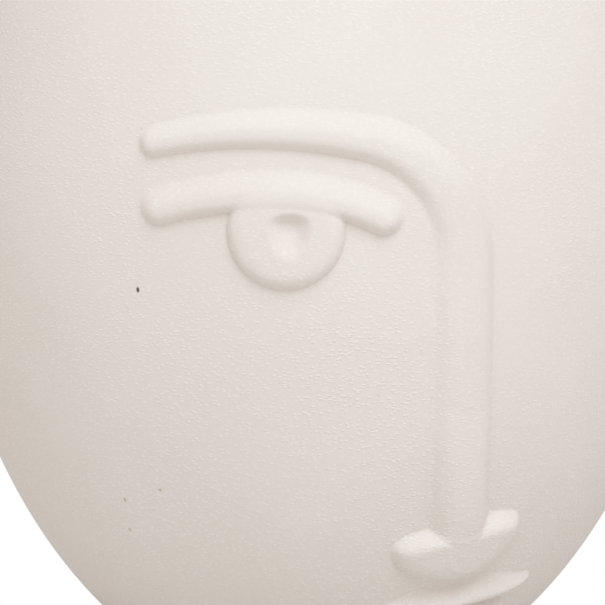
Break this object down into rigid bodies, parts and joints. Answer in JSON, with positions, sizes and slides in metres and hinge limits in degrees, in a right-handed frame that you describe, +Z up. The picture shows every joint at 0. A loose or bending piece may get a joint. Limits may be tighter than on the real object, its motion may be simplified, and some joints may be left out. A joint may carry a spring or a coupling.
{
  "type": "face vase",
  "caption": "Egg-shaped stoneware flower vase with a short flared neck, a foot ring, a glazed inside and a raised abstract face on its front.",
  "frame": {"origin": "centre of the foot ring's underside, where the vase's axis meets the table", "axes": "+Z up along the vase's axis, -Y towards the viewer of the face, +X to the viewer's right"},
  "size_m": [0.2002, 0.2034, 0.2943],
  "materials": {
    "bisque": "matte, fine sandy grain",
    "liner_glaze": "gloss"
  },
  "bodies": {
    "root": {"body": "bisque", "neck": "bisque", "foot_ring": "bisque", "brow_nose_ridge": "bisque", "upper_eyelid": "bisque", "eye": "bisque", "nose_tip": "bisque", "upper_lip": "bisque", "lower_lip": "bisque", "inner_glaze": "liner_glaze"}
  },
  "joints": []
}
